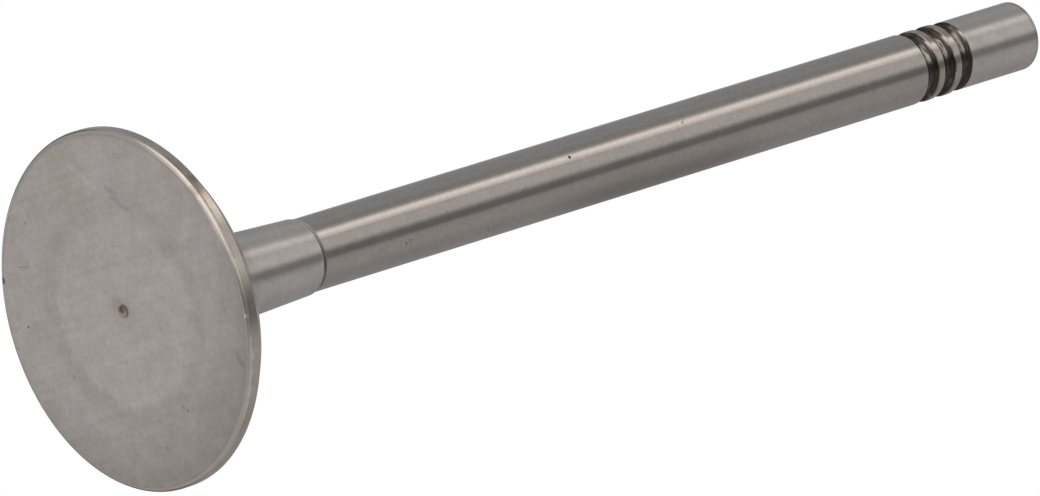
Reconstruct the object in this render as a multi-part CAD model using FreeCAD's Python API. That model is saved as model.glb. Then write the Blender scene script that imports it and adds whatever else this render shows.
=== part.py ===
import FreeCAD, Part

import math
import os

# A poppet valve of a piston engine, forged, turned and ground from one piece of steel.
# It stands on its combustion face. The origin is the centre of that face, and +Z runs
# up the stem to the tip. Lengths are in millimetres and angles in degrees.

# Head, with its seat and underhead angles from the plane of the face
HEAD_DIAMETER = 43.5
FACE_EDGE_RADIUS = 0.5
MARGIN_HEIGHT = 1.1
SEAT_ANGLE = 45.0
SEAT_WIDTH = 2.8
UNDERHEAD_ANGLE = 20.0
DIMPLE_DIAMETER = 1.6
DIMPLE_DEPTH = 0.25

# Neck, a slight taper that ends a little proud of the ground stem
NECK_FILLET_RADIUS = 13.0
NECK_HALF_ANGLE = 2.5
NECK_END_HEIGHT = 27.55
NECK_STEP = 0.19
RUNOUT_RADIUS = 1.6

# Stem
VALVE_LENGTH = 151.0
STEM_DIAMETER = 9.0

# Keeper grooves
GROOVE_COUNT = 3
GROOVE_RADIUS = 1.0
GROOVE_DEPTH = 0.73
GROOVE_LAND = 1.1
GROOVE_EDGE_CHAMFER = 0.1

# Tip, the plain end beyond the last groove, a little slimmer than the stem
TIP_LENGTH = 12.45
TIP_RELIEF = 0.11
TIP_CHAMFER = 0.5

# Sizes that follow from those above
head_radius = HEAD_DIAMETER / 2
seat_height = FACE_EDGE_RADIUS + MARGIN_HEIGHT
stem_radius = STEM_DIAMETER / 2
tip_radius = stem_radius - TIP_RELIEF
groove_floor = stem_radius - GROOVE_DEPTH
groove_half_width = math.sqrt(GROOVE_RADIUS**2 - (GROOVE_RADIUS - GROOVE_DEPTH) ** 2)
groove_pitch = 2 * groove_half_width + GROOVE_LAND
last_groove = VALVE_LENGTH - TIP_LENGTH - groove_half_width
first_groove = last_groove - (GROOVE_COUNT - 1) * groove_pitch


def point(radius, height):
    """A point of the half section, which lies in the XZ plane."""
    return FreeCAD.Vector(radius, 0, height)


def arc_about(centre, start, end):
    """Start, middle and end of the short arc between two points round a centre."""
    halfway = (start - centre + end - centre).normalize()
    return start, centre + halfway * (start - centre).Length, end


def rounded_corner(before, corner, after, radius):
    """The arc that rounds a corner, no larger than the shorter of its two sides allows."""
    back = (before - corner).normalize()
    onward = (after - corner).normalize()
    half_angle = back.getAngle(onward) / 2
    shorter_side = min((before - corner).Length, (after - corner).Length)
    radius = min(radius, shorter_side * math.tan(half_angle))
    run = radius / math.tan(half_angle)
    centre = corner + (back + onward).normalize() * (radius / math.sin(half_angle))
    return arc_about(centre, corner + back * run, corner + onward * run)


def face_dimple():
    """The shallow round dimple in the middle of the combustion face."""
    rim = point(DIMPLE_DIAMETER / 2, 0)
    ball_radius = (rim.x**2 + DIMPLE_DEPTH**2) / (2 * DIMPLE_DEPTH)
    return arc_about(point(0, DIMPLE_DEPTH - ball_radius), point(0, DIMPLE_DEPTH), rim)


def neck_corner(seat_inner, neck_end):
    """Where the underhead cone and the neck's taper would meet without their fillet."""
    rise = math.tan(math.radians(UNDERHEAD_ANGLE))
    taper = math.tan(math.radians(NECK_HALF_ANGLE))
    reach = seat_inner.x - neck_end.x - taper * neck_end.z
    height = (seat_inner.z + rise * reach) / (1 - rise * taper)
    return point(neck_end.x + taper * (neck_end.z - height), height)


def grinding_runout(neck_end):
    """The hollow that the grinding wheel leaves between the neck's end and the stem."""
    fall = math.sqrt(RUNOUT_RADIUS**2 - (RUNOUT_RADIUS - NECK_STEP) ** 2)
    stem_start = point(stem_radius, neck_end.z + fall)
    return arc_about(stem_start + point(RUNOUT_RADIUS, 0), neck_end, stem_start)


def groove_edge(groove_centre, land_radius, side):
    """The chamfer at a keeper groove's edge, on the side -1 or +1 along Z: land, then groove."""
    inset = land_radius - GROOVE_EDGE_CHAMFER
    away = math.sqrt(GROOVE_RADIUS**2 - (groove_centre.x - inset) ** 2)
    on_groove = point(inset, groove_centre.z + side * away)
    on_land = point(land_radius, on_groove.z + side * GROOVE_EDGE_CHAMFER)
    return on_land, on_groove


def keeper_grooves():
    """Each groove's chamfer, round floor and other chamfer, from the head towards the tip."""
    steps = []
    for k in range(GROOVE_COUNT):
        height = first_groove + k * groove_pitch
        centre = point(groove_floor + GROOVE_RADIUS, height)
        land_after = tip_radius if k == GROOVE_COUNT - 1 else stem_radius
        near_land, near_groove = groove_edge(centre, stem_radius, -1)
        far_land, far_groove = groove_edge(centre, land_after, 1)
        steps += [near_land, (near_groove, point(groove_floor, height), far_groove), far_land]
    return steps


def half_section():
    """The turned outline, from the middle of the face round to the middle of the tip."""
    seat = math.radians(SEAT_ANGLE)
    dimple = face_dimple()
    seat_outer = point(head_radius, seat_height)
    seat_inner = seat_outer + point(-math.cos(seat), math.sin(seat)) * SEAT_WIDTH
    neck_end = point(stem_radius + NECK_STEP, NECK_END_HEIGHT)
    corner = neck_corner(seat_inner, neck_end)
    return [
        dimple,
        rounded_corner(dimple[-1], point(head_radius, 0), seat_outer, FACE_EDGE_RADIUS),
        seat_outer,
        seat_inner,
        rounded_corner(seat_inner, corner, neck_end, NECK_FILLET_RADIUS),
        grinding_runout(neck_end),
        *keeper_grooves(),
        point(tip_radius, VALVE_LENGTH - TIP_CHAMFER),
        point(tip_radius - TIP_CHAMFER, VALVE_LENGTH),
        point(0, VALVE_LENGTH),
    ]


def turned(outline):
    """The solid that an outline sweeps round the Z axis. A step of three points is an arc."""
    edges = []
    here = outline[-1]
    for step in outline:
        arc = step if isinstance(step, tuple) else None
        start = arc[0] if arc else step
        if not here.isEqual(start, 1e-7):
            edges.append(Part.makeLine(here, start))
        if arc:
            edges.append(Part.Arc(*arc).toShape())
        here = arc[-1] if arc else start
    section = Part.Face(Part.Wire(edges))
    return section.revolve(FreeCAD.Vector(0, 0, 0), FreeCAD.Vector(0, 0, 1), 360)


os.makedirs("parts", exist_ok=True)
valve = turned(half_section())
valve.exportStep("parts/valve.step")
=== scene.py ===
import math

import bpy
from bpy.props import FloatProperty, FloatVectorProperty, IntProperty, PointerProperty
from bpy.types import NodeSocket, Operator, Panel, PropertyGroup
from mathutils import Matrix, Quaternion, Vector


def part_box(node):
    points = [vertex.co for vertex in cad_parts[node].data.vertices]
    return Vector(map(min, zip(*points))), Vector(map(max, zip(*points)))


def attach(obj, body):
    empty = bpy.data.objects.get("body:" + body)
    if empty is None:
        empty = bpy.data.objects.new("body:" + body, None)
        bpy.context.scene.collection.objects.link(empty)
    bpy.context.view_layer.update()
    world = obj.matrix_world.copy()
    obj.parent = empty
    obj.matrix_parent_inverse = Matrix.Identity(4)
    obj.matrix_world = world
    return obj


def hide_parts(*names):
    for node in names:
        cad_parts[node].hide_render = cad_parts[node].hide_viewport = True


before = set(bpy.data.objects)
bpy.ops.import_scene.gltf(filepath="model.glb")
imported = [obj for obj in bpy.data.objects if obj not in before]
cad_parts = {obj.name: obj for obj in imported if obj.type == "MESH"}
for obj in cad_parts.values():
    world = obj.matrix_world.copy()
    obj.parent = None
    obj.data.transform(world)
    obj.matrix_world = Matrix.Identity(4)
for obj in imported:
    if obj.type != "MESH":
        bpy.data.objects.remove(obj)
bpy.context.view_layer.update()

bl_info = {
    "name": "Engine valve",
    "version": (1, 0, 0),
    "blender": (4, 5, 0),
    "location": "3D View > Sidebar > Engine valve",
    "description": "Turns an engine valve on its packed frame, with its steel finishes and a stage",
    "category": "Object",
}

LOW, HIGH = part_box("valve")


# Sizes and colours that a user may change

def length(name, text, millimetres):
    """A length in metres, given here in millimetres."""
    return FloatProperty(
        name=name, description=text, default=millimetres / 1000, min=0,
        precision=5, subtype="DISTANCE", unit="LENGTH",
    )


def angle(name, text, degrees):
    """An angle, given here in degrees."""
    return FloatProperty(
        name=name, description=text, default=math.radians(degrees),
        subtype="ANGLE", unit="ROTATION",
    )


def share(name, text, value):
    """A share from 0 to 1, such as a roughness."""
    return FloatProperty(
        name=name, description=text, default=value, min=0, max=1, subtype="FACTOR",
    )


def strength(name, text, value):
    """The brightness of a light, where 1 is white."""
    return FloatProperty(name=name, description=text, default=value, min=0)


def colour(name, text, red, green, blue):
    """A colour, given by its linear red, green and blue."""
    return FloatVectorProperty(
        name=name, description=text, default=(red, green, blue), min=0, max=1,
        size=3, subtype="COLOR",
    )


class ValveSizes(PropertyGroup):
    """Sizes of the turned valve"""

    head_diameter: length("Head", "Across the head at its margin", (HIGH.x - LOW.x) * 1000)
    face_edge_radius: length("Face edge", "Rounding between the face and the margin", 0.5)
    margin_height: length("Margin", "Straight part of the head's rim", 1.1)
    seat_angle: angle("Seat angle", "Seat from the plane of the face", 45)
    seat_width: length("Seat", "Ground seat, along its slope", 2.8)
    underhead_angle: angle("Underhead angle", "Underhead from the plane of the face", 20)
    dimple_diameter: length("Dimple", "Centre dimple across", 1.6)
    dimple_depth: length("Dimple depth", "Depth of the centre dimple", 0.25)
    neck_fillet: length("Neck fillet", "Radius between the underhead and the neck", 13)
    neck_half_angle: angle("Neck taper", "Slope of the neck's side", 2.5)
    neck_end: length("Neck end", "Height where the neck ends", 27.55)
    neck_step: length("Neck step", "How far the neck stands proud of the stem", 0.19)
    runout_radius: length("Run-out", "Hollow that the grinding wheel leaves", 1.6)
    valve_length: length("Length", "From the face to the tip", HIGH.z * 1000)
    stem_diameter: length("Stem", "Across the ground stem", 9)
    groove_count: IntProperty(name="Grooves", description="Keeper grooves", default=3, min=1)
    groove_radius: length("Groove radius", "Round floor of a keeper groove", 1.0)
    groove_depth: length("Groove depth", "Depth of a keeper groove", 0.73)
    groove_land: length("Land", "Stem left between two grooves", 1.1)
    groove_chamfer: length("Groove chamfer", "Edge of a keeper groove", 0.1)
    tip_length: length("Tip", "Plain end beyond the last groove", 12.45)
    tip_relief: length("Tip relief", "How much slimmer the tip is than the stem", 0.11)
    tip_chamfer: length("Tip chamfer", "Edge of the tip", 0.5)
    edge_break: length("Broken edges", "Small bevel on each turned edge", 0.06)
    steps_round: IntProperty(
        name="Steps round", description="Divisions of a full turn", default=240, min=24,
    )


class ValveFinish(PropertyGroup):
    """Colours and roughness of its finishes"""

    steel: colour("Ground steel", "Stem", 0.71, 0.655, 0.61)
    satin: colour("Satin steel", "Face of the head", 0.650, 0.612, 0.590)
    bare: colour("Margin steel", "Margin, seat and rounded edge", 0.88, 0.81, 0.74)
    neck: colour("Neck steel", "Neck and underhead", 0.90, 0.85, 0.81)
    tip: colour("Tip steel", "Plain end beyond the grooves", 0.86, 0.81, 0.78)
    oxide: colour("Oxide", "Dark oxide on a groove's floor", 0.105, 0.10, 0.098)
    tint: colour("Brown tint", "Heat tint beside the oxide", 0.165, 0.142, 0.122)
    ground_roughness: share("Ground roughness", "Stem", 0.19)
    satin_roughness: share("Satin roughness", "Face of the head", 0.42)
    neck_roughness: share("Neck roughness", "Neck and underhead", 0.30)
    tip_roughness: share("Tip roughness", "Plain end beyond the grooves", 0.30)
    margin_roughness: share("Margin roughness", "Margin, seat and rounded edge", 0.20)
    groove_roughness: share("Groove roughness", "Keeper grooves", 0.30)


class ValveStage(PropertyGroup):
    """Camera, floor and light"""

    camera_distance: FloatProperty(
        name="Camera distance", description="From the face's centre to the camera",
        default=1.2213, subtype="DISTANCE", unit="LENGTH",
    )
    camera_elevation: angle("Camera elevation", "Seen from the face's centre", -38.94)
    camera_pitch: angle("Camera pitch", "How far the camera looks up", 41.11)
    camera_yaw: angle("Camera yaw", "How far the camera looks past the stem", 0.41)
    camera_roll: angle("Camera roll", "Turn of the picture about the view", 72.53)
    lens: FloatProperty(name="Lens", description="Focal length in millimetres", default=363)
    floor_colour: colour("Floor", "Plain pale floor", 0.80, 0.80, 0.79)
    floor_size: FloatProperty(
        name="Floor size", description="Across the floor",
        default=3.0, subtype="DISTANCE", unit="LENGTH",
    )
    room: colour("Room", "Light from the pale walls round the stage", 0.32, 0.32, 0.32)
    dark_card: share("Dark card", "What is left of the room's light beside the camera", 0.5)
    key: strength("Key light", "Brightness of the long soft panel at the upper edge", 0.84)
    fill: strength("Fill light", "Brightness of the soft panel beside the camera", 0.20)
    low: strength("Low light", "Brightness of the soft panel that lights the rim", 0.78)
    side: strength("Side light", "Brightness of the soft panel before the face", 0.37)
    back: strength("Back light", "Brightness of the soft panel behind the stem", 0.14)


# Node helpers

def put(tree, kind, inputs=None, **settings):
    """Adds a shader node, with its settings and its inputs: values, or sockets to link."""
    made = tree.nodes.new("ShaderNode" + kind)
    for name, value in settings.items():
        setattr(made, name, value)
    for name, value in (inputs or {}).items():
        socket = made.inputs[name]
        if isinstance(value, NodeSocket):
            tree.links.new(value, socket)
        else:
            socket.default_value = value
    return made


def maths(tree, operation, *values):
    """The result of a Math node."""
    return put(tree, "Math", dict(enumerate(values)), operation=operation).outputs[0]


def product(tree, *values):
    """Two or more values multiplied together."""
    made = values[0]
    for value in values[1:]:
        made = maths(tree, "MULTIPLY", made, value)
    return made


def scaled(tree, value, factor, added):
    """A value times a factor, plus what is added."""
    return maths(tree, "MULTIPLY_ADD", value, factor, added)


def along(tree, place, axis):
    """How far a point lies along X, Y or Z."""
    return put(tree, "SeparateXYZ", {0: place}).outputs[axis]


def from_axis(tree, place):
    """How far a point lies from the valve's axis."""
    flat = put(tree, "VectorMath", {0: place, 1: (1, 1, 0)}, operation="MULTIPLY").outputs[0]
    return put(tree, "VectorMath", {0: flat}, operation="LENGTH").outputs["Value"]


def smooth_step(tree, value, start, end):
    """0 at start and 1 at end, with soft turns. It falls where end is below start."""
    made = put(
        tree, "MapRange",
        {"Value": value, "From Min": start, "From Max": end},
        interpolation_type="SMOOTHSTEP",
    )
    return made.outputs[0]


def step_mm(tree, value, start, end):
    """A smooth step with its two ends in millimetres."""
    return smooth_step(tree, value, start / 1000, end / 1000)


def blend_colours(tree, factor, first, second, how="MIX"):
    """The colour output of a Mix node, whose colour inputs are its sockets 6 and 7."""
    made = put(tree, "Mix", {0: factor, 6: first, 7: second}, data_type="RGBA", blend_type=how)
    return made.outputs[2]


def new_group(name, inputs, outputs):
    """A node group with named sockets. Each input is its label, kind and default."""
    group = bpy.data.node_groups.new(name, "ShaderNodeTree")
    for label, kind, value in inputs:
        made = group.interface.new_socket(label, in_out="INPUT", socket_type="NodeSocket" + kind)
        made.default_value = value
    for label, kind in outputs:
        group.interface.new_socket(label, in_out="OUTPUT", socket_type="NodeSocket" + kind)
    entry = group.nodes.new("NodeGroupInput")
    leave = group.nodes.new("NodeGroupOutput")
    return group, entry.outputs, leave.inputs


def use_group(tree, name, build, inputs):
    """The outputs of a node group, which is built the first time it is used."""
    group = bpy.data.node_groups.get(name) or build()
    return put(tree, "Group", inputs, node_tree=group).outputs


# Effects that several finishes share

def cutting_lines_group():
    """Fine lines that a tool or a wheel leaves round a turned surface."""
    group, given, out = new_group(
        "Cutting lines",
        [("Vector", "Vector", (0, 0, 0)), ("Across", "Float", 0), ("Lines per metre", "Float", 4000),
         ("Streaks per metre", "Float", 60)],
        [("Height", "Float")],
    )
    parts = put(group, "SeparateXYZ", {0: given["Vector"]}).outputs
    place = put(group, "CombineXYZ", {
        "X": product(group, parts["X"], given["Streaks per metre"]),
        "Y": product(group, parts["Y"], given["Streaks per metre"]),
        "Z": product(group, given["Across"], given["Lines per metre"]),
    }).outputs[0]
    lines = put(group, "TexNoise", {"Vector": place, "Scale": 1, "Detail": 3, "Roughness": 0.6})
    group.links.new(lines.outputs["Fac"], out["Height"])
    return group


def cloudy_group():
    """Soft uneven patches, from handling and a thin oxide film."""
    group, given, out = new_group(
        "Cloudy film",
        [("Vector", "Vector", (0, 0, 0)), ("Patches per metre", "Float", 150)],
        [("Film", "Float")],
    )
    noise = put(group, "TexNoise", {
        "Vector": given["Vector"], "Scale": given["Patches per metre"], "Detail": 4, "Roughness": 0.55,
    })
    film = smooth_step(group, noise.outputs["Fac"], 0.3, 0.7)
    group.links.new(film, out["Film"])
    return group


def specks_group():
    """Small dark pits and specks, few and scattered."""
    group, given, out = new_group(
        "Specks",
        [("Vector", "Vector", (0, 0, 0)), ("Cells per metre", "Float", 300), ("Size", "Float", 0.08),
         ("Share", "Float", 0.2)],
        [("Mask", "Float")],
    )
    cells = put(group, "TexVoronoi", {
        "Vector": given["Vector"], "Scale": given["Cells per metre"], "Randomness": 1,
    })
    dot = smooth_step(group, cells.outputs["Distance"], given["Size"], 0)
    chance = put(group, "SeparateColor", {0: cells.outputs["Color"]}).outputs[0]
    chosen = maths(group, "LESS_THAN", chance, given["Share"])
    group.links.new(product(group, dot, chosen), out["Mask"])
    return group


def ring_group():
    """A soft band round the valve, at one height or one distance from the axis."""
    group, given, out = new_group(
        "Ring",
        [("Place", "Float", 0), ("Middle", "Float", 0), ("Half width", "Float", 0.001),
         ("Fade", "Float", 0.0005)],
        [("Mask", "Float")],
    )
    away = maths(group, "ABSOLUTE", maths(group, "SUBTRACT", given["Place"], given["Middle"]))
    outer = maths(group, "ADD", given["Half width"], given["Fade"])
    group.links.new(smooth_step(group, away, outer, given["Half width"]), out["Mask"])
    return group


def spot_group():
    """A soft round spot at one place, such as a single pit or stain."""
    group, given, out = new_group(
        "Spot",
        [("Vector", "Vector", (0, 0, 0)), ("Centre", "Vector", (0, 0, 0)), ("Radius", "Float", 0.001),
         ("Fade", "Float", 0.001)],
        [("Mask", "Float")],
    )
    away = put(group, "VectorMath", {0: given["Vector"], 1: given["Centre"]}, operation="DISTANCE")
    outer = maths(group, "ADD", given["Radius"], given["Fade"])
    group.links.new(smooth_step(group, away.outputs["Value"], outer, given["Radius"]), out["Mask"])
    return group


def scratch_group():
    """A straight scratch between two places."""
    group, given, out = new_group(
        "Scratch",
        [("Vector", "Vector", (0, 0, 0)), ("Start", "Vector", (0, 0, 0)), ("End", "Vector", (0, 0, 0)),
         ("Half width", "Float", 0.0001)],
        [("Mask", "Float")],
    )

    def vectors(operation, *values, result=0):
        return put(group, "VectorMath", dict(enumerate(values)), operation=operation).outputs[result]

    run = vectors("SUBTRACT", given["End"], given["Start"])
    off = vectors("SUBTRACT", given["Vector"], given["Start"])
    reached = vectors("DOT_PRODUCT", off, run, result="Value")
    whole = vectors("DOT_PRODUCT", run, run, result="Value")
    part = put(group, "Clamp", {"Value": maths(group, "DIVIDE", reached, whole)}).outputs[0]
    nearest = put(group, "VectorMath", {0: run, "Scale": part}, operation="SCALE").outputs[0]
    away = vectors("DISTANCE", off, nearest, result="Value")
    outer = product(group, given["Half width"], 2)
    group.links.new(smooth_step(group, away, outer, product(group, outer, 0.2)), out["Mask"])
    return group


# Finishes

def start_finish(name):
    """A new material, its tree, its Principled shader and a point's place on the piece."""
    material = bpy.data.materials.new(name)
    material.use_nodes = True
    tree = material.node_tree
    tree.nodes.clear()
    shader = put(tree, "BsdfPrincipled", {"Metallic": 1.0})
    put(tree, "OutputMaterial", {"Surface": shader.outputs[0]})
    return material, tree, shader, put(tree, "TexCoord").outputs["Object"]


def brushed_along(tree, shader, amount):
    """Light spreads across the cutting lines, which run round the axis."""
    tangent = put(tree, "Tangent", direction_type="RADIAL", axis="Z")
    tree.links.new(tangent.outputs[0], shader.inputs["Tangent"])
    shader.inputs["Anisotropic"].default_value = amount
    shader.inputs["Anisotropic Rotation"].default_value = 0.25


def finish_surface(tree, shader, base, roughness, height, depth_um):
    """Links the colour, the roughness and a bump whose depth is in micrometres."""
    tree.links.new(base, shader.inputs["Base Color"])
    tree.links.new(roughness, shader.inputs["Roughness"])
    bump = put(tree, "Bump", {"Height": height, "Strength": 1.0, "Distance": depth_um / 1000000})
    tree.links.new(bump.outputs[0], shader.inputs["Normal"])


def shade(rgb, factor=1):
    """A colour times a factor, with full alpha."""
    return (rgb[0] * factor, rgb[1] * factor, rgb[2] * factor, 1)


def several(tree, masks):
    """The strongest of several masks at each point."""
    most = masks[0]
    for mask in masks[1:]:
        most = maths(tree, "MAXIMUM", most, mask)
    return most


def spots(tree, place, marks):
    """Round marks, each given by its centre and radius in millimetres."""
    return several(tree, [
        use_group(tree, "Spot", spot_group, {
            "Vector": place, "Centre": (x / 1000, y / 1000, z / 1000),
            "Radius": radius / 2000, "Fade": radius / 1500,
        })["Mask"]
        for x, y, z, radius in marks
    ])


def scratches(tree, place, lines):
    """Straight scratches, each given by its two ends and its half width in millimetres."""
    return several(tree, [
        use_group(tree, "Scratch", scratch_group, {
            "Vector": place, "Start": Vector(start) / 1000, "End": Vector(end) / 1000,
            "Half width": width / 1000,
        })["Mask"]
        for start, end, width in lines
    ])


def ring(tree, place, middle, half_width, fade):
    """A band round the valve, with its sizes in millimetres."""
    return use_group(tree, "Ring", ring_group, {
        "Place": place, "Middle": middle / 1000, "Half width": half_width / 1000, "Fade": fade / 1000,
    })["Mask"]


def cutting_lines(tree, place, across, lines, streaks):
    """Fine lines across a direction, with lines and streaks counted per metre."""
    return use_group(tree, "Cutting lines", cutting_lines_group, {
        "Vector": place, "Across": across, "Lines per metre": lines, "Streaks per metre": streaks,
    })["Height"]


def cloudy_film(tree, place, patches):
    """Soft patches, counted per metre."""
    return use_group(tree, "Cloudy film", cloudy_group, {
        "Vector": place, "Patches per metre": patches,
    })["Film"]


def specks(tree, place, cells, size, chance):
    """Scattered specks: cells per metre, speck size in cells, and the share of cells with one."""
    return use_group(tree, "Specks", specks_group, {
        "Vector": place, "Cells per metre": cells, "Size": size, "Share": chance,
    })["Mask"]


def tinted(tree, base, *layers):
    """The base colour, multiplied by each layer's tint where the layer's mask is 1."""
    for mask, tint in layers:
        base = blend_colours(tree, mask, base, shade(tint), "MULTIPLY")
    return base


def raised(tree, value, *layers):
    """A value, plus each layer's mask times the layer's amount."""
    for mask, amount in layers:
        value = scaled(tree, mask, amount, value)
    return value


def ground_steel(finish, sizes):
    """The stem: centreless ground, with fine lines round it and a few small marks."""
    material, tree, shader, place = start_finish("ground_steel")
    brushed_along(tree, shader, 0.6)
    height = along(tree, place, "Z")
    side = along(tree, place, "X")
    lines = cutting_lines(tree, place, height, lines=3200, streaks=60)
    bands = cutting_lines(tree, place, height, lines=420, streaks=12)
    film = cloudy_film(tree, place, patches=170)
    grain = cloudy_film(tree, place, patches=1700)
    uneven = cloudy_film(tree, place, patches=700)
    stains = specks(tree, place, cells=420, size=0.16, chance=0.10)
    bright = specks(tree, place, cells=300, size=0.06, chance=0.14)
    pits = several(tree, [
        specks(tree, place, cells=330, size=0.03, chance=0.10),
        spots(tree, place, [
            (-1.87, -4.09, 69.68, 0.26), (2.18, -3.94, 41.1, 0.14), (1.94, -4.06, 41.7, 0.12),
            (3.62, -2.68, 55.1, 0.14), (-1.9, -4.08, 88.9, 0.12), (1.2, -4.34, 38.6, 0.10),
            (2.6, -3.67, 36.2, 0.10), (0.4, -4.48, 47.4, 0.09), (2.9, -3.44, 47.9, 0.09),
        ]),
    ])
    scuffs = scratches(tree, place, [
        ((1.94, -4.06, 42.2), (2.5, -3.74, 40.9), 0.07),
        ((3.3, -3.06, 56.7), (3.75, -2.49, 56.0), 0.09),
        ((-1.8, -4.13, 88.6), (-2.1, -3.98, 89.4), 0.09),
        ((3.9, -2.24, 57.6), (4.05, -1.96, 57.1), 0.08),
        ((-0.2, -4.49, 61.4), (0.5, -4.47, 60.4), 0.05),
    ])
    mid_stem = ring(tree, height, middle=84, half_width=9, fade=14)
    handled = product(tree, mid_stem, step_mm(tree, side, 0.5, 4.6))
    runout = sizes.neck_end * 1000 + 0.34
    hollow = ring(tree, height, middle=runout, half_width=0.14, fade=0.26)
    lower_side = step_mm(tree, side, -2.8, 1.2)
    # blotchy painted shade in the run-out hollow, darkest on the +X side, and a painted highlight in it
    # on the -X side
    hollow_shade = product(tree, hollow, scaled(tree, uneven, 0.3, 0.7), scaled(tree, lower_side, 0.9, 0.1))
    hollow_highlight = product(tree, hollow, maths(tree, "SUBTRACT", 1, lower_side))

    base = blend_colours(tree, film, shade(finish.steel, 0.965), shade(finish.steel, 1.02))
    base = tinted(
        tree, base, (grain, (0.91, 0.91, 0.915)), (lines, (0.94, 0.94, 0.94)),
        (bands, (0.94, 0.93, 0.925)), (stains, (0.88, 0.85, 0.82)), (handled, (0.68, 0.67, 0.66)),
    )
    base = blend_colours(tree, bright, base, shade(finish.steel, 1.2))
    base = tinted(
        tree, base, (scuffs, (0.80, 0.78, 0.76)), (pits, (0.24, 0.22, 0.21)),
        (hollow_highlight, (1.30, 1.28, 1.25)), (hollow_shade, (0.30, 0.27, 0.23)),
    )
    rough = raised(
        tree, finish.ground_roughness - 0.03, (lines, 0.05), (film, 0.03), (hollow, 0.28), (pits, 0.3),
    )
    finish_surface(tree, shader, base, rough, scaled(tree, pits, -6, lines), depth_um=1)
    return material


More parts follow.
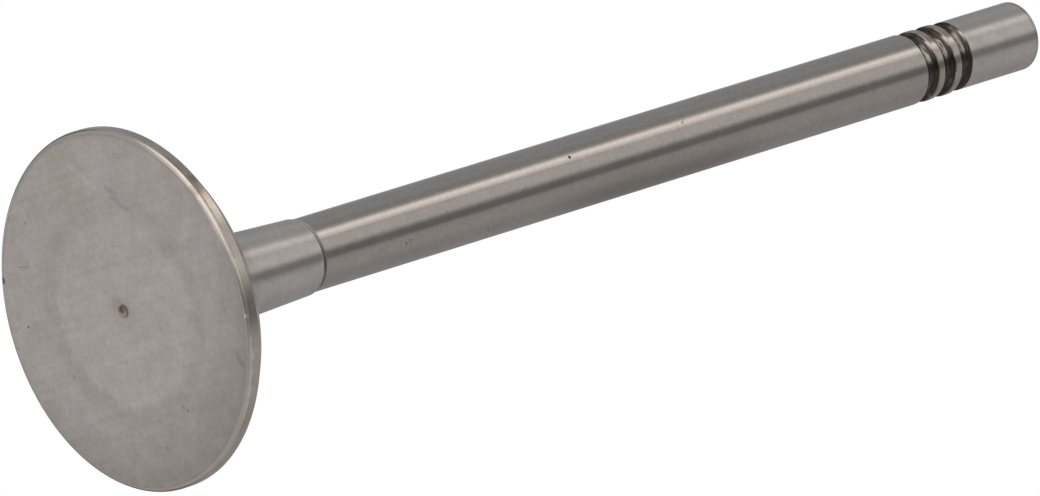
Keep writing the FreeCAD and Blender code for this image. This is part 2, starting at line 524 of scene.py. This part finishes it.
def satin_face(finish):
    """The combustion face: fine turned and satin, lighter in the middle, with small marks, with painted
    shade towards one side, at its edge and in its dimple, and a painted highlight at its edge.
    """
    material, tree, shader, place = start_finish("satin_face")
    radius = from_axis(tree, place)
    side = along(tree, place, "X")
    lines = cutting_lines(tree, place, radius, lines=2300, streaks=90)
    wiped = cutting_lines(tree, place, side, lines=1500, streaks=50)
    film = cloudy_film(tree, place, patches=110)
    mottle = cloudy_film(tree, place, patches=420)
    grain = cloudy_film(tree, place, patches=1500)
    pitted = cloudy_film(tree, place, patches=1900)
    uneven = scaled(tree, film, 0.0012, radius)
    middle = step_mm(tree, uneven, 13.4, 11.4)
    middle_ring = ring(tree, uneven, middle=13.4, half_width=0.5, fade=1.4)
    # painted shade: the face darkens with distance from a point off its centre
    off_centre = put(tree, "VectorMath", {0: place, 1: (-0.0066, 0.0024, 0)}, operation="DISTANCE")
    painted_side_shade = step_mm(tree, off_centre.outputs["Value"], 17.5, 30)
    edge = ring(tree, radius, middle=21.4, half_width=0.1, fade=0.5)
    # painted shade: the face's outer ring darker on the -X side
    left_edge_shade = product(tree, edge, step_mm(tree, side, -6, -14))
    # painted highlight: the face's outer ring lighter on part of its -X, -Y quarter
    upper_edge_highlight = product(
        tree, edge, step_mm(tree, side, -2.5, -6), step_mm(tree, side, -10.5, -8),
        step_mm(tree, along(tree, place, "Y"), 0, -4),
    )
    halo = ring(tree, uneven, middle=0, half_width=1.9, fade=1.6)
    # the dimple's dark brown mark, partly painted shade in its hollow
    dimple = step_mm(tree, scaled(tree, pitted, 0.0005, radius), 1.4, 0.8)
    # painted shade: the dimple darker on its -X side
    dimple_shade = product(tree, dimple, step_mm(tree, side, 0.5, -0.3))
    dots = several(tree, [
        specks(tree, place, cells=260, size=0.02, chance=0.12),
        spots(tree, place, [(-1.55, 17.84, 0, 0.17), (-7.67, 19.9, 0, 0.5)]),
    ])
    faint_dots = several(tree, [
        specks(tree, place, cells=330, size=0.06, chance=0.14),
        spots(tree, place, [
            (-13.3, 12.6, 0, 0.3), (5.66, 12.35, 0, 0.25), (12.6, -5.3, 0, 0.32),
            (13.2, -5.95, 0, 0.26), (16.7, -0.3, 0, 0.3),
        ]),
    ])
    smudges = scratches(tree, place, [
        ((-14.3, -3.7, 0), (-13.4, -4.9, 0), 0.30),
        ((-13.0, -3.9, 0), (-12.2, -5.0, 0), 0.30),
        ((-12.1, -4.7, 0), (-11.2, -6.4, 0), 0.24),
        ((8.8, -17.6, 0), (9.8, -17.9, 0), 0.35),
    ])
    dark_lines = scratches(tree, place, [
        ((-8.63, 16.3, 0), (-8.31, 14.7, 0), 0.06),
        ((-8.31, 14.7, 0), (-9.1, 14.3, 0), 0.06),
    ])
    light_lines = scratches(tree, place, [
        ((-18.0, 1.5, 0), (-14.8, -1.4, 0), 0.30),
        ((-13.6, -3.0, 0), (-12.0, -4.9, 0), 0.26),
        ((-6.0, -14.0, 0), (-4.6, -15.6, 0), 0.10),
        ((5.0, 6.5, 0), (6.2, 3.0, 0), 0.10),
    ])
    stains = spots(tree, place, [(-17.4, 2.5, 0, 4.0), (-12.8, 0.3, 0, 3.2), (-14.6, 4.2, 0, 2.2)])
    rubbed = spots(tree, place, [
        (-17.7, -3.5, 0, 2.6), (-19.2, -1.4, 0, 1.6), (-15.8, -2.6, 0, 2.0), (-14.4, -1.8, 0, 2.2),
    ])

    base = blend_colours(tree, middle, shade(finish.satin, 0.99), shade(finish.satin, 1.05))
    base = tinted(
        tree, base, (middle_ring, (0.955, 0.94, 0.935)), (film, (0.965, 0.95, 0.94)),
        (mottle, (0.95, 0.953, 0.95)), (wiped, (0.82, 0.82, 0.815)), (grain, (0.91, 0.91, 0.91)),
        (lines, (0.94, 0.94, 0.94)), (painted_side_shade, (0.73, 0.71, 0.70)), (edge, (0.95, 0.94, 0.93)),
        (left_edge_shade, (0.84, 0.82, 0.81)), (halo, (0.94, 0.93, 0.92)), (dimple, (0.87, 0.82, 0.80)),
        (dimple_shade, (0.86, 0.82, 0.79)), (product(tree, dimple, pitted), (0.66, 0.63, 0.62)),
        # painted shade: a dark spot on the dimple's -X side
        (spots(tree, place, [(-0.3, 0.25, 0.1, 0.5)]), (0.72, 0.67, 0.65)),
        (spots(tree, place, [(-1.0, 0.7, 0, 1.1)]), (0.90, 0.885, 0.88)),
        (light_lines, (1.03, 1.035, 1.04)), (smudges, (0.83, 0.825, 0.84)),
        (spots(tree, place, [(-5.7, -11.0, 0, 1.7)]), (0.965, 0.94, 0.942)),
        (product(tree, stains, film), (0.995, 0.975, 0.925)),
        (product(tree, rubbed, mottle), (1.09, 1.10, 1.11)), (upper_edge_highlight, (1.40, 1.38, 1.34)),
        (dark_lines, (0.72, 0.70, 0.70)), (faint_dots, (0.80, 0.77, 0.76)), (dots, (0.32, 0.28, 0.27)),
    )
    rough = raised(
        tree, finish.satin_roughness - 0.06, (lines, 0.08), (mottle, 0.05), (light_lines, -0.06),
    )
    bumps = scaled(tree, maths(tree, "ADD", dots, dark_lines), -4, lines)
    finish_surface(tree, shader, base, rough, bumps, depth_um=1.5)
    return material


def margin_steel(finish, sizes):
    """The rounded edge, the margin and the seat: brighter, and satin again by the face."""
    material, tree, shader, place = start_finish("margin_steel")
    brushed_along(tree, shader, 0.4)
    height = along(tree, place, "Z")
    side = along(tree, place, "X")
    lines = cutting_lines(tree, place, height, lines=5200, streaks=110)
    film = cloudy_film(tree, place, patches=150)
    smears = cloudy_film(tree, place, patches=600)
    grain = cloudy_film(tree, place, patches=2200)
    edge = sizes.face_edge_radius
    seat_start = edge + sizes.margin_height
    seat = smooth_step(tree, height, seat_start, seat_start + 0.0001)
    rounding = smooth_step(tree, height, edge * 1.15, edge * 0.85)
    # painted highlight: the satin darkening by the face is lifted on part of the -X side, so the
    # rounding is brighter there
    rounding_highlight = product(tree, step_mm(tree, side, -2.5, -6), step_mm(tree, side, -18, -15))
    by_face = product(
        tree, smooth_step(tree, height, edge * 0.22, edge * 0.03), scaled(tree, rounding_highlight, -0.85, 1),
    )
    band = ring(tree, height, middle=1.25, half_width=0.3, fade=0.5)
    scored = product(tree, ring(tree, height, middle=0.56, half_width=0.03, fade=0.10), smears)
    dark_dot = spots(tree, place, [(-7.67, 19.9, 0.1, 0.5)])
    # painted glint: a small bright spot on the rounded edge
    painted_glint = spots(tree, place, [(4.66, -21.03, 0.1, 0.3)])
    dull = spots(tree, place, [(-11.0, -18.8, 0.5, 1.0), (-12.2, -17.9, 0.9, 0.8)])

    base = blend_colours(tree, film, shade(finish.bare, 0.90), shade(finish.bare, 1.04))
    base = tinted(
        tree, base, (smears, (0.93, 0.91, 0.89)), (grain, (0.93, 0.92, 0.91)),
        (band, (0.90, 0.88, 0.87)), (scored, (0.62, 0.56, 0.50)),
    )
    base = blend_colours(tree, by_face, base, shade(finish.satin, 0.73))
    base = tinted(tree, base, (dark_dot, (0.30, 0.27, 0.26)), (dull, (0.76, 0.71, 0.66)))
    base = blend_colours(tree, painted_glint, base, shade(finish.bare, 1.2))
    base = tinted(tree, base, (seat, (1.02, 1.05, 1.08)))
    rough = raised(
        tree, finish.margin_roughness - 0.04, (lines, 0.07), (smears, 0.06), (by_face, 0.12),
        (rounding, 0.07),
    )
    finish_surface(tree, shader, base, rough, lines, depth_um=3)
    return material


def turned_steel(name, colour, roughness, spread, shade_line=None):
    """The neck with the underhead, or the tip, with a line of painted shade near the tip's end, darker
    towards -X.
    """
    material, tree, shader, place = start_finish(name)
    brushed_along(tree, shader, spread)
    height = along(tree, place, "Z")
    lines = cutting_lines(tree, place, height, lines=2400, streaks=90)
    film = cloudy_film(tree, place, patches=240)
    mottle = cloudy_film(tree, place, patches=1300)
    pits = specks(tree, place, cells=300, size=0.04, chance=0.12)
    base = blend_colours(tree, film, shade(colour, 0.95), shade(colour, 1.03))
    base = tinted(
        tree, base, (mottle, (0.92, 0.92, 0.925)), (lines, (0.92, 0.915, 0.91)),
        (pits, (0.50, 0.46, 0.44)),
    )
    if shade_line:
        # painted shade: a dark line just inside the tip's chamfer, strongest on the -X side
        by_side = scaled(tree, step_mm(tree, along(tree, place, "X"), 1, -2), 0.6, 0.4)
        end_shade = product(tree, by_side, ring(tree, height, middle=shade_line, half_width=0.05, fade=0.14))
        base = tinted(tree, base, (end_shade, (0.60, 0.57, 0.55)))
    rough = raised(tree, roughness - 0.03, (lines, 0.05), (mottle, 0.03))
    finish_surface(tree, shader, base, rough, lines, depth_um=0.6)
    return material


def groove_oxide(finish, sizes):
    """A keeper groove: dark oxide on its floor, brown tint up its walls, bare at its edge."""
    material, tree, shader, place = start_finish("groove_oxide")
    brushed_along(tree, shader, 0.4)
    height = along(tree, place, "Z")
    side = along(tree, place, "X")
    deep = maths(tree, "SUBTRACT", sizes.stem_diameter / 2, from_axis(tree, place))
    half, first, pitch = groove_spacing(sizes)
    across = maths(tree, "SUBTRACT", height, first - pitch / 2)
    across = maths(tree, "SUBTRACT", maths(tree, "MODULO", across, pitch), pitch / 2)
    ridges = cutting_lines(tree, place, height, lines=3400, streaks=500)
    film = cloudy_film(tree, place, patches=500)
    broken = cloudy_film(tree, place, patches=900)
    wall = step_mm(tree, deep, sizes.groove_depth * 1000 - 0.12, 0.25)
    rim = step_mm(tree, deep, 0.16, 0.02)
    # near wall lighter and far wall darker: partly keeper wear and oxide, partly painted highlight on
    # the near wall and painted shade on the far wall
    near_wall_wear_and_highlight = smooth_step(tree, across, half * -0.1, half * -0.55)
    far_wall_oxide_and_shade = smooth_step(tree, across, half * 0.15, half * 0.50)
    worn = product(tree, smooth_step(tree, ridges, 0.50, 0.62), broken)
    # painted highlights: a lighter far rim and bright glints on the ridges, only on a narrow band of the
    # -X side
    highlight_side = product(tree, step_mm(tree, side, 0.4, -0.6), step_mm(tree, side, -2.9, -2.3))
    rim_highlight = product(
        tree, highlight_side, step_mm(tree, side, -0.8, -2.5), step_mm(tree, deep, 0.42, 0.20),
        smooth_step(tree, across, half * 0.3, half * 0.5),
    )
    painted_glints = product(
        tree, highlight_side, smooth_step(tree, ridges, 0.36, 0.50),
        smooth_step(tree, across, half * 0.62, half * 0.32), scaled(tree, broken, 0.55, 0.45),
    )

    base = blend_colours(tree, wall, shade(finish.oxide), shade(finish.tint, 0.8))
    base = blend_colours(tree, near_wall_wear_and_highlight, base, shade(finish.oxide, 4.6))
    base = tinted(tree, base, (far_wall_oxide_and_shade, (0.60, 0.56, 0.52)))
    base = blend_colours(tree, rim, base, shade(finish.tint, 2.2))
    base = tinted(tree, base, (film, (1.30, 1.25, 1.20)), (worn, (3.0, 2.9, 2.8)))
    base = blend_colours(tree, rim_highlight, base, shade((0.64, 0.58, 0.52)))
    base = blend_colours(tree, painted_glints, base, shade((0.86, 0.80, 0.74)))
    rough = raised(tree, finish.groove_roughness, (worn, -0.08), (painted_glints, 0.14), (near_wall_wear_and_highlight, -0.06))
    scored = product(tree, ridges, scaled(tree, near_wall_wear_and_highlight, 0.85, 0.15))
    finish_surface(tree, shader, base, rough, scored, depth_um=160)
    return material


# Edges sharper than the first angle are broken, and those sharper than the second shade crisply
BROKEN_ANGLE = math.radians(18)
CRISP_ANGLE = math.radians(24)

# Points nearer to each other than the first are one point, and heights within the second are equal
MERGE_DISTANCE = 0.0000005
HEIGHT_TOLERANCE = 0.00001

# Guide rings: how many bevel widths they lie from a corner, and how many such gaps a run must exceed
GUIDE_GAP = 2.5
LONG_RUN = 4


# The turned outline, as radius and height

def arc(centre, start, end, count):
    """Points of the short arc from start to end round a centre, without its start."""
    first = start - centre
    last = end - centre
    turn = first.angle_signed(last)
    made = []
    for k in range(1, count):
        step = Matrix.Rotation(-turn * k / count, 2)
        made.append(centre + step @ first)
    return [*made, end]


def rounded_corner(before, corner, after, radius, count):
    """The points of a corner that is rounded, no more than its shorter side allows."""
    back = (before - corner).normalized()
    onward = (after - corner).normalized()
    half = back.angle(onward) / 2
    shorter = min((before - corner).length, (after - corner).length)
    run = min(radius / math.tan(half), shorter)
    centre = corner + (back + onward).normalized() * (run / math.cos(half))
    start = corner + back * run
    return [start, *arc(centre, start, corner + onward * run, count)]


def groove_spacing(sizes):
    """Half a groove's width, the first groove's height and the step to the next one."""
    inset = sizes.groove_radius - sizes.groove_depth
    half = math.sqrt(sizes.groove_radius**2 - inset**2)
    pitch = 2 * half + sizes.groove_land
    last = sizes.valve_length - sizes.tip_length - half
    return half, last - (sizes.groove_count - 1) * pitch, pitch


def keeper_groove(sizes, height, land_after):
    """One groove's chamfer, round floor and other chamfer, from the head towards the tip."""
    stem_radius = sizes.stem_diameter / 2
    centre = Vector((stem_radius - sizes.groove_depth + sizes.groove_radius, height))
    ends = []
    for land, side in ((stem_radius, -1), (land_after, 1)):
        inset = land - sizes.groove_chamfer
        away = math.sqrt(sizes.groove_radius**2 - (centre.x - inset) ** 2)
        inner = Vector((inset, height + side * away))
        outer = Vector((land, inner.y + side * sizes.groove_chamfer))
        ends.append((outer, inner))
    (near_land, near), (far_land, far) = ends
    return [near_land, near, *arc(centre, near, far, count=20), far_land]


def with_guide_rings(outline, gap):
    """Adds a ring near both ends of each long straight run, which keeps its shading straight."""
    made = [outline[0]]
    for here, there in zip(outline, outline[1:]):
        run = there - here
        if run.length > gap * LONG_RUN:
            step = run.normalized() * gap
            made += [here + step, there - step]
        made.append(there)
    return made


def turned_outline(sizes):
    """The half section from the middle of the face round to the middle of the tip."""
    head_radius = sizes.head_diameter / 2
    stem_radius = sizes.stem_diameter / 2
    tip_radius = stem_radius - sizes.tip_relief
    rim = Vector((sizes.dimple_diameter / 2, 0))
    ball = (rim.x**2 + sizes.dimple_depth**2) / (2 * sizes.dimple_depth)
    middle = Vector((0, sizes.dimple_depth))
    outline = [middle, *arc(Vector((0, sizes.dimple_depth - ball)), middle, rim, count=8)]

    seat_outer = Vector((head_radius, sizes.face_edge_radius + sizes.margin_height))
    slope = Vector((-math.cos(sizes.seat_angle), math.sin(sizes.seat_angle)))
    seat_inner = seat_outer + slope * sizes.seat_width
    face_corner = Vector((head_radius, 0))
    outline += rounded_corner(rim, face_corner, seat_outer, sizes.face_edge_radius, count=8)
    outline += [seat_outer, seat_inner]

    neck_end = Vector((stem_radius + sizes.neck_step, sizes.neck_end))
    rise = math.tan(sizes.underhead_angle)
    taper = math.tan(sizes.neck_half_angle)
    reach = seat_inner.x - neck_end.x - taper * neck_end.y
    height = (seat_inner.y + rise * reach) / (1 - rise * taper)
    corner = Vector((neck_end.x + taper * (neck_end.y - height), height))
    outline += rounded_corner(seat_inner, corner, neck_end, sizes.neck_fillet, count=32)
    outline.append(neck_end)

    fall = math.sqrt(sizes.runout_radius**2 - (sizes.runout_radius - sizes.neck_step) ** 2)
    stem_start = Vector((stem_radius, neck_end.y + fall))
    outline += arc(stem_start + Vector((sizes.runout_radius, 0)), neck_end, stem_start, count=8)

    _, first, pitch = groove_spacing(sizes)
    for k in range(sizes.groove_count):
        last = k == sizes.groove_count - 1
        outline += keeper_groove(sizes, first + k * pitch, tip_radius if last else stem_radius)
    outline += [
        Vector((tip_radius, sizes.valve_length - sizes.tip_chamfer)),
        Vector((tip_radius - sizes.tip_chamfer, sizes.valve_length)),
        Vector((0, sizes.valve_length)),
    ]
    return with_guide_rings(outline, sizes.edge_break * GUIDE_GAP)


def select_nothing():
    """Deselects every object."""
    for item in bpy.context.selected_objects:
        item.select_set(False)


def spin_outline(name, outline, steps):
    """A turned piece: the outline is drawn point by point and spun round the Z axis."""
    select_nothing()
    bpy.ops.mesh.primitive_plane_add(size=0.001, location=(0, 0, 0))
    piece = bpy.context.active_object
    piece.name = name
    piece.data.name = name
    bpy.ops.object.mode_set(mode="EDIT")
    bpy.ops.mesh.select_all(action="SELECT")
    bpy.ops.mesh.merge(type="CENTER")
    here = Vector((0, 0))
    for number, there in enumerate(outline):
        step = (there.x - here.x, 0, there.y - here.y)
        if number == 0:
            bpy.ops.transform.translate(value=step)
        else:
            bpy.ops.mesh.extrude_region_move(TRANSFORM_OT_translate={"value": step})
        here = there
    bpy.ops.mesh.select_all(action="SELECT")
    bpy.ops.mesh.spin(steps=steps, angle=2 * math.pi, center=(0, 0, 0), axis=(0, 0, 1))
    bpy.ops.mesh.select_all(action="SELECT")
    bpy.ops.mesh.remove_doubles(threshold=MERGE_DISTANCE)
    bpy.ops.mesh.normals_make_consistent(inside=False)
    bpy.ops.object.mode_set(mode="OBJECT")
    return piece


def assign_finishes(piece, sizes, finishes):
    """Gives each turned surface its finish, by its height and its distance from the axis."""
    for material in finishes.values():
        piece.data.materials.append(material)
    slots = {name: number for number, name in enumerate(finishes)}
    half, first, pitch = groove_spacing(sizes)
    face_radius = sizes.head_diameter / 2 - sizes.face_edge_radius
    seat_top = sizes.face_edge_radius + sizes.margin_height
    seat_top += sizes.seat_width * math.sin(sizes.seat_angle)
    for face in piece.data.polygons:
        height = face.center.z
        from_groove = abs((height - first + pitch / 2) % pitch - pitch / 2)
        in_grooves = first - half < height < first + half + (sizes.groove_count - 1) * pitch
        if height < sizes.dimple_depth and face.center.xy.length < face_radius:
            kind = "face"
        elif height < seat_top - HEIGHT_TOLERANCE:
            kind = "margin"
        elif height < sizes.neck_end:
            kind = "neck"
        elif height > sizes.valve_length - sizes.tip_length + sizes.groove_chamfer:
            kind = "tip"
        elif in_grooves and from_groove < half + sizes.groove_chamfer:
            kind = "groove"
        else:
            kind = "stem"
        face.material_index = slots[kind]


class VALVE_OT_turned_valve(Operator):
    """Turn the valve in one piece and give each surface its finish"""

    bl_idname = "engine_valve.turned_valve"
    bl_label = "Turned valve"

    def execute(self, context):
        sizes = context.scene.valve_sizes
        finish = context.scene.valve_finish
        piece = spin_outline("turned_valve", turned_outline(sizes), sizes.steps_round)
        bevel = piece.modifiers.new("broken_edges", "BEVEL")
        bevel.width = sizes.edge_break
        bevel.segments = 2
        bevel.limit_method = "ANGLE"
        bevel.angle_limit = BROKEN_ANGLE
        bpy.ops.object.modifier_apply(modifier=bevel.name)
        tip_shade_line = sizes.valve_length * 1000 - 0.8
        assign_finishes(piece, sizes, {
            "face": satin_face(finish),
            "margin": margin_steel(finish, sizes),
            "neck": turned_steel("neck_steel", finish.neck, finish.neck_roughness, 0.93),
            "tip": turned_steel("tip_steel", finish.tip, finish.tip_roughness, 0.85, tip_shade_line),
            "stem": ground_steel(finish, sizes),
            "groove": groove_oxide(finish, sizes),
        })
        bpy.ops.object.shade_smooth_by_angle(angle=CRISP_ANGLE)
        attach(piece, "root")
        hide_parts("valve")
        return {"FINISHED"}


# Stage

WHITE = (1, 1, 1)


def direction(azimuth, elevation):
    """A unit vector. Azimuth 0 is the camera's side, -Y, and turns towards +X."""
    level = math.cos(elevation)
    return Vector((math.sin(azimuth) * level, -math.cos(azimuth) * level, math.sin(elevation)))


def make_camera(stage):
    """The camera, at the photograph's viewing angle."""
    data = bpy.data.cameras.new("photo_camera")
    data.lens = stage.lens
    data.sensor_width = 36
    data.clip_start = 0.01
    data.clip_end = 100
    camera = bpy.data.objects.new("photo_camera", data)
    bpy.context.scene.collection.objects.link(camera)
    camera.location = direction(0, stage.camera_elevation) * stage.camera_distance
    forward = direction(math.pi - stage.camera_yaw, stage.camera_pitch)
    level = forward.to_track_quat("-Z", "Y")
    camera.rotation_mode = "QUATERNION"
    camera.rotation_quaternion = level @ Quaternion((0, 0, 1), stage.camera_roll)
    bpy.context.scene.camera = camera


def soft_panel_group():
    """A soft-edged rectangle in the room round the stage, placed by its angles in degrees."""
    group, given, out = new_group(
        "Soft panel",
        [("Way", "Vector", (0, 0, 0)), ("Azimuth", "Float", 0), ("Elevation", "Float", 0),
         ("Turn", "Float", 0), ("Width", "Float", 30), ("Height", "Float", 30), ("Fade", "Float", 6)],
        [("Mask", "Float")],
    )

    def turned(way, axis, degrees, sign):
        degrees = product(group, degrees, sign)
        return put(
            group, "VectorRotate",
            {"Vector": way, "Angle": maths(group, "RADIANS", degrees)}, rotation_type=axis + "_AXIS",
        ).outputs[0]

    def within(sideways, ahead, full_angle):
        off = maths(group, "DEGREES", maths(group, "ARCTAN2", maths(group, "ABSOLUTE", sideways), ahead))
        edge = product(group, full_angle, 0.5)
        return smooth_step(group, off, maths(group, "ADD", edge, given["Fade"]), edge)

    way = turned(given["Way"], "Z", given["Azimuth"], -1)
    way = turned(way, "X", given["Elevation"], 1)
    way = turned(way, "Y", given["Turn"], 1)
    parts = put(group, "SeparateXYZ", {0: way}).outputs
    ahead = product(group, parts["Y"], -1)
    across = within(parts["X"], ahead, given["Width"])
    up = within(parts["Z"], ahead, given["Height"])
    group.links.new(product(group, across, up), out["Mask"])
    return group


def make_room(stage):
    """Pale walls and soft panels, which the camera sees as a plain white ground."""
    world = bpy.data.worlds.new("pale_room")
    bpy.context.scene.world = world
    world.use_nodes = True
    tree = world.node_tree
    tree.nodes.clear()
    way = put(tree, "TexCoord").outputs["Generated"]

    def mask(*angles):
        names = ("Azimuth", "Elevation", "Turn", "Width", "Height", "Fade")
        inputs = {"Way": way, **dict(zip(names, angles))}
        return use_group(tree, "Soft panel", soft_panel_group, inputs)["Mask"]

    # Dark cards: azimuth, elevation, turn, width, height, fade, what is left of the light, its tint
    room = shade(stage.room)
    for *angles, left, tint in (
        (20, 0, 0, 14, 130, 9, stage.dark_card, WHITE),
        (125, 40, 0, 50, 60, 20, 0.88, WHITE),
        (-76, 45, 0, 10, 40, 5, 0.90, WHITE),
        (-76, 73, 0, 24, 30, 6, 0.12, WHITE),
        (-135, 40, 0, 40, 60, 16, 0.97, (0.91, 0.95, 1.0)),
        (180, 0, 0, 92, 34, 12, 0.36, WHITE),
        (180, 61, 0, 36, 16, 8, 0.45, WHITE),
        (8, -68, 0, 28, 26, 8, 0.30, WHITE),
        (-75, 24, 0, 16, 12, 5, 0.20, WHITE),
    ):
        room = blend_colours(tree, mask(*angles), room, shade(tint, left), "MULTIPLY")

    # Soft panels: azimuth, elevation, turn, width, height, fade, brightness, tint
    for *angles, brightness, tint in (
        (-53, 42, 0, 8, 12, 5, stage.key * 0.44, (1.0, 0.94, 0.88)),
        (-45, 42, 0, 11, 12, 5, stage.key * 0.64, (1.0, 0.96, 0.92)),
        (60, -8, 0, 40, 84, 7, 0.08, (1.0, 0.96, 0.92)),
        (-15, 43, 0, 18, 34, 6, stage.fill, (1.0, 0.97, 0.94)),
        (-62, -40, 26, 53, 64, 7, stage.low * 0.95, (1.0, 0.96, 0.90)),
        (-66, -2, 0, 30, 20, 6, stage.low * 0.54, (1.0, 0.96, 0.90)),
        (-30, -2, 0, 22, 20, 6, stage.low * 0.42, (1.0, 0.96, 0.90)),
        (-6, -2, 0, 10, 14, 5, stage.low, (1.0, 0.98, 0.95)),
        (180, -46, 0, 54, 48, 14, stage.side, (1.0, 0.98, 0.96)),
        (-174, 40, 0, 18, 50, 10, stage.back, (0.80, 0.92, 1.0)),
    ):
        room = blend_colours(tree, mask(*angles), room, shade(tint, brightness), "ADD")

    lit = put(tree, "Background", {"Color": room, "Strength": 1.0})
    seen = put(tree, "Background", {"Color": shade(WHITE), "Strength": 1.0})
    path = put(tree, "LightPath").outputs["Is Camera Ray"]
    both = put(tree, "MixShader", {0: path, 1: lit.outputs[0], 2: seen.outputs[0]})
    put(tree, "OutputWorld", {"Surface": both.outputs[0]})


def floor_finish(stage):
    """Plain pale floor, clear from below and fading into the white ground far out."""
    material = bpy.data.materials.new("pale_floor")
    material.use_nodes = True
    tree = material.node_tree
    tree.nodes.clear()
    place = put(tree, "TexCoord").outputs["Object"]
    away = put(tree, "VectorMath", {0: place}, operation="LENGTH").outputs["Value"]
    gone = smooth_step(tree, away, stage.floor_size * 0.15, stage.floor_size * 0.48)
    grain = put(tree, "TexNoise", {"Vector": place, "Scale": 900, "Detail": 2})
    darker = shade(stage.floor_colour, 0.985)
    tone = blend_colours(tree, grain.outputs["Fac"], darker, shade(stage.floor_colour))
    surface = put(tree, "BsdfPrincipled", {
        "Base Color": tone, "Roughness": 0.7, "Metallic": 0.0,
        "Emission Color": tone, "Emission Strength": 0.45,
    })
    clear = put(tree, "BsdfTransparent")
    behind = put(tree, "NewGeometry").outputs["Backfacing"]
    hidden = maths(tree, "MAXIMUM", gone, behind)
    both = put(tree, "MixShader", {0: hidden, 1: surface.outputs[0], 2: clear.outputs[0]})
    put(tree, "OutputMaterial", {"Surface": both.outputs[0]})
    return material


def make_floor(stage):
    """A round floor just under the valve, which doesn't change the light on it."""
    select_nothing()
    bpy.ops.mesh.primitive_circle_add(
        vertices=96, radius=stage.floor_size / 2, fill_type="NGON", location=(0, 0, -0.0003),
    )
    floor = bpy.context.active_object
    floor.name = "pale_floor"
    bpy.ops.object.transform_apply(location=True, rotation=True, scale=True)
    floor.data.materials.append(floor_finish(stage))
    floor.visible_diffuse = False
    floor.visible_glossy = False
    floor.visible_transmission = False
    floor.visible_shadow = False


class VALVE_OT_stage(Operator):
    """Set up the camera, the pale floor, the soft panels and the plain white ground"""

    bl_idname = "engine_valve.stage"
    bl_label = "Stage"

    def execute(self, context):
        stage = context.scene.valve_stage
        make_camera(stage)
        make_room(stage)
        make_floor(stage)
        context.scene.view_settings.view_transform = "Standard"
        return {"FINISHED"}


class VALVE_PT_sidebar(Panel):
    """Lists the valve's sizes, finishes and stage settings, with the buttons that build them"""

    bl_idname = "VALVE_PT_sidebar"
    bl_label = "Engine valve"
    bl_space_type = "VIEW_3D"
    bl_region_type = "UI"
    bl_category = "Engine valve"

    def draw(self, context):
        layout = self.layout
        for title, group in (
            ("Sizes", context.scene.valve_sizes),
            ("Finish", context.scene.valve_finish),
            ("Stage", context.scene.valve_stage),
        ):
            box = layout.box()
            box.label(text=title)
            for name in group.bl_rna.properties.keys():
                if name not in ("rna_type", "name"):
                    box.prop(group, name)
        layout.operator(VALVE_OT_stage.bl_idname)
        layout.operator(VALVE_OT_turned_valve.bl_idname)


CLASSES = (
    ValveSizes, ValveFinish, ValveStage, VALVE_OT_turned_valve, VALVE_OT_stage, VALVE_PT_sidebar,
)


def register():
    for cls in CLASSES:
        bpy.utils.register_class(cls)
    bpy.types.Scene.valve_sizes = PointerProperty(type=ValveSizes)
    bpy.types.Scene.valve_finish = PointerProperty(type=ValveFinish)
    bpy.types.Scene.valve_stage = PointerProperty(type=ValveStage)


def unregister():
    del bpy.types.Scene.valve_stage
    del bpy.types.Scene.valve_finish
    del bpy.types.Scene.valve_sizes
    for cls in reversed(CLASSES):
        bpy.utils.unregister_class(cls)


def main():
    """Builds the stage and the valve."""
    register()
    bpy.ops.engine_valve.stage()
    bpy.ops.engine_valve.turned_valve()


if __name__ == "__main__":
    main()
